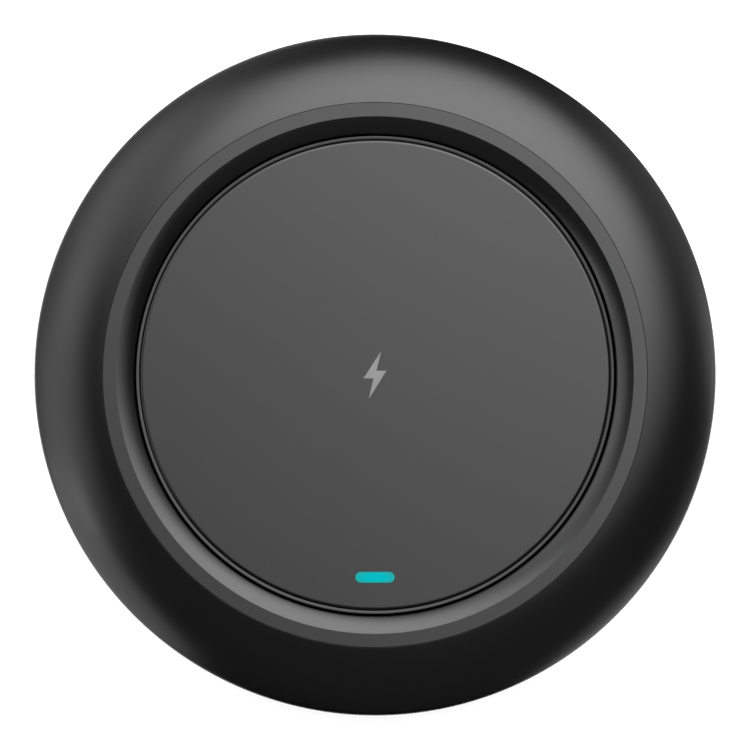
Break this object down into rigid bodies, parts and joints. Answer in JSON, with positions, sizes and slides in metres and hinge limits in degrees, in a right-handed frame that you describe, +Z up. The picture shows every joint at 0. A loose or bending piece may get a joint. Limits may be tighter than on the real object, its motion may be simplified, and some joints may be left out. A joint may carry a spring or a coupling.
{
  "type": "wireless charging pad",
  "caption": "Round wireless charging pad: a domed black case around a flat charging plate, with a lit status window at the front, a USB-C inlet at the rear and a rubber foot ring.",
  "frame": {"origin": "on the table, under the centre of the round pad", "axes": "+Z up, out of the charging surface; +Y to the rear, where the USB-C inlet is; -Y to the front, where the status window is"},
  "size_m": [0.1, 0.1, 0.0135],
  "materials": {
    "case_plastic": "satin",
    "bezel_plastic": "satin",
    "tray_plastic": "satin",
    "plate_plastic": "satin",
    "adhesive": "matte",
    "mark_ink": "matte",
    "lens_plastic": "gloss",
    "white_plastic": "matte",
    "litz_copper": "satin",
    "ferrite": "matte",
    "foam": "matte",
    "black_epoxy": "matte",
    "board_laminate": "satin",
    "capacitor_ceramic": "satin",
    "tin_plate": "satin",
    "steel": "satin",
    "black_insulator": "matte",
    "gold_contact": "polished",
    "base_plastic": "matte",
    "foot_rubber": "matte"
  },
  "bodies": {
    "root": {"outer_shell": "case_plastic", "bezel_ring": "bezel_plastic", "pad_tray": "tray_plastic", "charging_plate": "plate_plastic", "plate_adhesive": "adhesive", "surface_mark": "mark_ink", "indicator_lens": "lens_plastic", "light_baffle": "white_plastic", "coil_tape": "adhesive", "coil_winding": "litz_copper", "coil_leads": "litz_copper", "ferrite_disc": "ferrite", "foam_pad": "foam", "coil_thermistor": "black_epoxy", "circuit_board": "board_laminate", "controller_chip": "black_epoxy", "power_chip": "black_epoxy", "bridge_mosfets": "black_epoxy", "resonance_capacitors": "capacitor_ceramic", "input_capacitors": "capacitor_ceramic", "power_inductor": "ferrite", "crystal": "tin_plate", "small_passives": "capacitor_ceramic", "status_led": "white_plastic", "usb_shell": "steel", "usb_tongue": "black_insulator", "usb_contacts": "gold_contact", "board_screws": "steel", "base_plate": "base_plastic", "case_screws": "steel", "foot_ring": "foot_rubber"}
  },
  "joints": []
}
